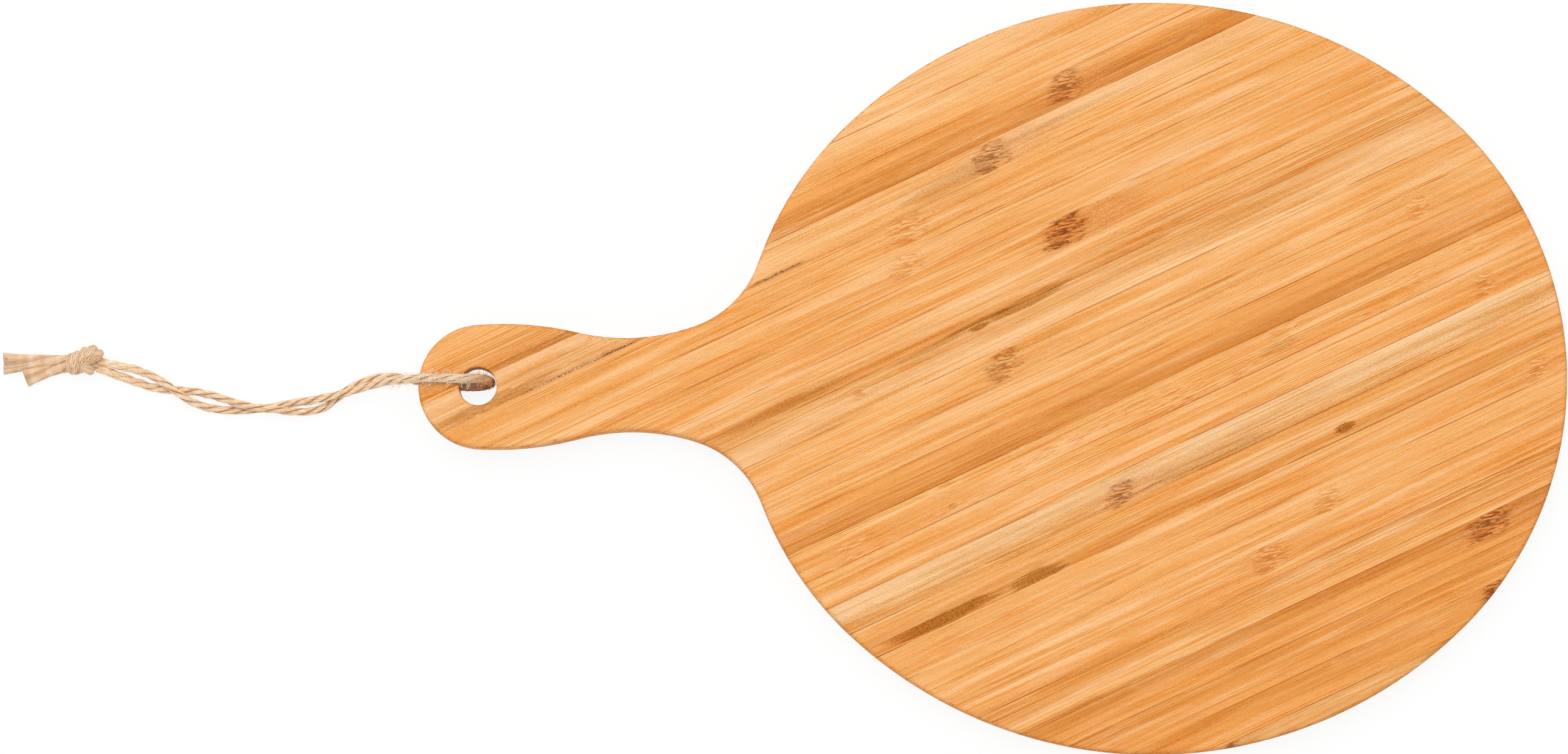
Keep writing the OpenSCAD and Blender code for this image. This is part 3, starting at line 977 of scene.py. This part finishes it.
rim = {
    "chipNoise": ((1.8, 0.32, 0.8), 2),
    "chip": (0.52, 0.62, 0.6),
    "chipTurn": (0.02, 0.25),  # how far the face turns from level
    "browned": (0.1, 0.7, 0.4),
    "brownWash": (0.8, 0.62, 0.46, 1),
    "chipWash": (0.62, 0.4, 0.24, 1),
}


def rimWearAndShade():  # the eased edges: browner as they turn from level, partly their own edge colour and partly painted shade, with short chips along the grain
    ins = [("Colour", "c"), ("Place", "v"), ("Normal", "v")]
    tree, entry = group("rimWearAndShade", ins, [("Colour", "c")])
    turned = minus(1.0, size(split(entry["Normal"])[2]))
    # faces turned from level darken: partly the edges' own browner wood, partly painted shade
    colour = washed(effect(turned, rim["browned"]), entry["Colour"], rim["brownWash"])
    chip = effect(pattern(entry["Place"], *rim["chipNoise"]), rim["chip"])
    chip = times(chip, effect(turned, rim["chipTurn"]))
    put("NodeGroupOutput", {"Colour": washed(chip, colour, rim["chipWash"])})
    return tree


stain = {
    "ragNoise": ((12, 0.6, 1.5), 4, 0.6),
    "rag": 2.2,
    "speckNoise": ((0.9, 0.3, 0.4), 2, 0.6),
    "patch": (1.1, 0.35),
    "speck": (0.4, 0.7),
    "patchWash": (0.67, 0.52, 0.2, 1),
    "speckWash": (0.5, 0.38, 0.22, 1),
}


def stainMark():  # a golden brown oval drawn out along the grain, with a ragged edge and darker specks
    ins = [("Colour", "c")] + markSockets + [("Dark", "f")]
    tree, entry = group("stainMark", ins, [("Colour", "c")])
    du, dw = fromMark(entry)[:2]
    rag = swing(entry["Place"], *stain["ragNoise"])
    ring = ramp(rag, stain["rag"], ovalRing(entry, du, dw))
    patch = effect(ring, stain["patch"], entry["Dark"])
    colour = washed(patch, entry["Colour"], stain["patchWash"])
    speck = effect(pattern(entry["Place"], *stain["speckNoise"]), stain["speck"])
    put("NodeGroupOutput", {"Colour": washed(times(patch, speck), colour, stain["speckWash"])})
    return tree


def grainFlow():  # fibres part round a mark: a bell curve draws places near it to its middle line
    tree, entry = group("grainFlow", markSockets + [("Push", "f")], [("Place", "v")])
    u, w, z = split(entry["Place"])
    du, dw = fromMark(entry)[:2]
    bell = calc("EXPONENT", times(ovalRing(entry, du, dw), -1.0))
    moved = minus(w, times(dw, bell, entry["Push"]))
    put("NodeGroupOutput", {"Place": joined(u, moved, z)})
    return tree


# Each strip: its tone on the upper and the lower side, where its fibres are dense, and its marks. A knuckle
# or a stain is (u, w, reach, spread, dark), and a crack is (u, w, reach, spread, share of pale splinters).
cracks = [(-169, 80.5, 20, 0.32, 0.9), (-150, 80.6, 7, 0.38, 0.2), (-94.5, 80.7, 11, 0.4, 0.2)]
plainStrip = {"lean": 0.0, "bundles": 0.3, "grit": 0.3, "dashes": 0.25, "cream": 1.0, "flow": 0.2,
              "knuckles": [], "stains": [], "cracks": []}
strips = {
    1: {"tones": ("cream", "pale")},
    2: {"tones": ("pale", "light")},
    3: {"tones": ("orange", "deep"), "cream": 0.6, "grit": 0.7, "knuckles": [(14.2, 95.9, 7, 5, 0.55)]},
    4: {"tones": ("cream", "light"), "grit": 0.7, "knuckles": [(-16.3, 85.6, 7.5, 5, 0.6)],
        "stains": [(-31, 83.5, 20, 3.2, 0.36), (8, 87.5, 30, 1.0, 0.36)], "cracks": cracks},
    5: {"tones": ("mid", "mid"), "bundles": 0.1, "cracks": cracks, "knuckles": [(-50.5, 76, 9, 4.8, 0.15)]},
    6: {"tones": ("pale", "orange"), "bundles": 0.8, "knuckles": [(-55.8, 65.8, 6.5, 4.4, 0.15)]},
    7: {"tones": ("mid", "orange"), "bundles": 0.7, "grit": 0.6, "knuckles": [(-5.4, 54.1, 8.5, 5.2, 1.0)]},
    8: {"tones": ("pale", "brown"), "grit": 0.7,
        "stains": [(-112, 41.5, 28, 1.8, 0.45), (-43, 39.4, 14, 1.0, 0.7), (-24, 39.6, 14, 1.2, 0.5)]},
    9: {"tones": ("dusk", "cream"), "bundles": -0.6, "flow": 0.75, "knuckles": [(-86.7, 35.2, 2.5, 2.2, 0.2)],
        "stains": [(-43.3, 38, 4, 1.0, 1.0), (-27, 38.4, 15, 1.4, 0.7), (-60, 38.4, 16, 1.1, 0.4)]},
    10: {"tones": ("light", "mid"), "knuckles": [(-41.3, 23.4, 7, 5, 0.45)]},
    11: {"tones": ("pale", "mid"), "bundles": 0.4, "knuckles": [(99.4, 12.9, 4, 4, 0.1)]},
    12: {"tones": ("orange", "deep"), "cream": 0.45, "bundles": 0.9, "grit": 0.6},
    13: {"tones": ("mid", "orange"), "dashes": 1.0,
         "stains": [(-75.3, -10.2, 1.6, 1.1, 0.35), (40, -8.4, 7, 2, 0.25)]},
    14: {"tones": ("light", "orange"), "bundles": 0.3, "knuckles": [(108.4, -18, 4, 4, 0.15)]},
    15: {"tones": ("chalk", "dusk"), "bundles": -0.2, "grit": 1.5, "knuckles": [(-25.7, -29.9, 6, 4.5, 0.6)],
         "stains": [(5, -31, 26, 2.2, 0.35)]},
    16: {"tones": ("mid", "brown"), "cream": 0.8, "bundles": 0.2,
         "stains": [(48.5, -40.6, 4, 1.8, 1.0), (-60.5, -42, 11, 2.8, 0.9), (-93, -41.2, 22, 2.4, 1.0)]},
    17: {"tones": ("mid", "orange"), "bundles": 0.4, "knuckles": [(111.8, -49.6, 4, 4, 0.15)]},
    18: {"tones": ("light", "light"), "bundles": 0.1, "knuckles": [(33.5, -58.9, 5, 4, 0.2)]},
    19: {"tones": ("orange", "orange"), "bundles": 0.4, "knuckles": [(9, -67.7, 7, 4.5, 0.25)]},
    20: {"tones": ("brown", "mid"), "lean": 1.0, "grit": 0.5},
    21: {"tones": ("deep", "orange"), "cream": 0.5, "lean": 1.0, "bundles": 0.9,
         "knuckles": [(76.5, -87.3, 9, 5, 0.75)]},
    22: {"tones": ("brown", "orange"), "cream": 0.5, "lean": 1.0, "bundles": 0.9},
    23: {"tones": ("brown", "orange"), "cream": 0.4, "lean": 1.0, "bundles": 0.8,
         "knuckles": [(68.5, -107.4, 4, 4, 0.8)]},
    24: {"tones": ("dusk", "dusk"), "knuckles": [(-27.7, -116.2, 3, 3, 0.6)]},
}
handleStrips = {
    1: {"tones": ("pale", "light"), "bundles": 0.5, "grit": 0.5},
    2: {"tones": ("mid", "brown"), "bundles": 0.4, "grit": 1.2, "dashes": 0.4,
        "stains": [(-170, 92, 30, 1.8, 0.4)]},
    3: {"tones": ("cream", "dusk"), "bundles": 0.4, "grit": 1.2, "dashes": 0.9, "cracks": cracks,
        "stains": [(-194, 82.2, 24, 2.0, 0.4)]},
}
flowReach = 1.6  # how far the fibres part, over a knuckle's own reach
grainGroup = bambooGrain()
knuckleGroup = knuckleMark()
stainGroup = stainMark()
crackGroup = crackMark()
rimGroup = rimWearAndShade()
flowGroup = grainFlow()


def markFeeds(place, mark):  # a mark's place and size, by the names of its sockets
    u, w, reach, spread = mark[:4]
    return {"Place": place, "MarkU": u, "MarkW": w, "Reach": reach, "Spread": spread}


# The grain of one strip, read where its knuckles part it, then its stains, knuckles, cracks and rim in turn.
def bambooMaterial(name, number, recipe):
    recipe = plainStrip | recipe
    material, shader = newMaterial(name)
    flat = scaledBy(put("ShaderNodeTexCoord").outputs["Object"], 1 / mm)
    turn = (0.0, 0.0, -math.radians(board["grainAngle"]))
    place = put("ShaderNodeMapping", {"Vector": flat, "Rotation": turn}).outputs[0]
    flow = place
    for mark in recipe["knuckles"]:
        feeds = markFeeds(flow, mark) | {"Reach": mark[2] * flowReach, "Push": recipe["flow"]}
        flow = useGroup(flowGroup, feeds)["Place"]
    upper, lower = (tones[tone] for tone in recipe["tones"])
    topLine = board["topLine"] - board["stripWidth"] * (number - 2)
    feeds = {"Place": flow, "Flat": flat, "TopLine": topLine, "Upper": upper, "Lower": lower}
    feeds |= {socket: recipe[socket.lower()] for socket in ("Lean", "Bundles", "Grit", "Dashes", "Cream")}
    wood = useGroup(grainGroup, feeds)
    colour, height = wood["Colour"], wood["Height"]
    for mark in recipe["stains"]:
        feeds = markFeeds(place, mark) | {"Colour": colour, "Dark": mark[4]}
        colour = useGroup(stainGroup, feeds)["Colour"]
    for kind, inner, last in (("knuckles", knuckleGroup, "Dark"), ("cracks", crackGroup, "Pale")):
        for mark in recipe[kind]:
            feeds = markFeeds(place, mark) | {"Colour": colour, "Height": height, last: mark[4]}
            wood = useGroup(inner, feeds)
            colour, height = wood["Colour"], wood["Height"]
    normal = put("ShaderNodeTexCoord").outputs["Normal"]
    colour = useGroup(rimGroup, {"Colour": colour, "Place": place, "Normal": normal})["Colour"]
    looks = {"Base Color": colour, "Roughness": 0.6, "Specular IOR Level": 0.12}
    finishSurface(shader, looks, height, strength=0.3, distance=0.00015)
    return material


def dress(node, material):  # gives a strip its finish
    held = nodes[node].data.materials
    held.clear()
    held.append(material)


for number, recipe in strips.items():
    dress(f"blade_strip_{number:02d}", bambooMaterial(f"bambooStrip{number:02d}", number, recipe))
for number, recipe in handleStrips.items():
    dress(f"handle_strip_{number:02d}", bambooMaterial(f"bambooHandle{number:02d}", number + 1, recipe))
print("bamboo dressed:", len(strips) + len(handleStrips), "strips")

# The table is white and the light soft, so the board keeps its written colours.
studio = {
    "skyStrength": 0.68,
    "lampPower": 62.0,
    "lampSize": 2.6,
    "lampPlace": (-0.7, 1.2, 3.2),
}


def cameraSees():  # 1 for what the camera sees, also in a reflection or through glass
    rays = put("ShaderNodeLightPath").outputs
    seen = calc("MAXIMUM", rays["Is Camera Ray"], rays["Is Glossy Ray"])
    return calc("MAXIMUM", seen, rays["Is Transmission Ray"])


def makeTable():  # one sloping quad, plain white to the camera apart from a share that takes the shadow
    across = np.array([-table["half"], table["half"]])
    x, y = np.meshgrid(across, across)
    corners = np.column_stack([x.ravel(), y.ravel(), tableHeight(x).ravel()]) * mm
    mesh = bpy.data.meshes.new("table")
    mesh.from_pydata(corners.tolist(), [], [(0, 1, 3, 2)])
    top = bpy.data.objects.new("table", mesh)
    scene.collection.objects.link(top)
    material, shader = newMaterial("tableWhite")
    inner = material.node_tree.nodes
    inner.remove(shader)
    matt = put("ShaderNodeBsdfDiffuse", {"Color": table["colour"]})
    glow = put("ShaderNodeEmission", {"Color": (1, 1, 1, 1), "Strength": 1.0})
    share = times(cameraSees(), table["glow"])
    both = put("ShaderNodeMixShader", {0: share, 1: matt.outputs[0], 2: glow.outputs[0]})
    feed(inner["Material Output"], {"Surface": both.outputs[0]})
    mesh.materials.append(material)


def makeSky():  # even light all round, plain white to the camera
    world = bpy.data.worlds.new("studioSky")
    scene.world = world
    world.use_nodes = True
    wiring["tree"] = world.node_tree
    sky = world.node_tree.nodes["Background"]
    strength = ramp(cameraSees(), 1.0 - studio["skyStrength"], studio["skyStrength"])
    feed(sky, {"Strength": strength, "Color": (1, 1, 1, 1)})


def makeLamp():  # one wide lamp that faces the origin
    lamp = bpy.data.lights.new("softLamp", "AREA")
    lamp.size = studio["lampSize"]
    lamp.energy = studio["lampPower"]
    holder = bpy.data.objects.new("softLamp", lamp)
    scene.collection.objects.link(holder)
    stand = np.array(studio["lampPlace"])
    back = stand / np.linalg.norm(stand)
    right = np.cross([0, 0, 1], back)
    right /= np.linalg.norm(right)
    turned = np.column_stack([right, np.cross(back, right), back])
    holder.location = stand.tolist()
    holder.rotation_euler = Matrix(turned.tolist()).to_euler()


makeTable()
makeSky()
makeLamp()
scene.view_settings.view_transform = "Standard"
print("studio set")
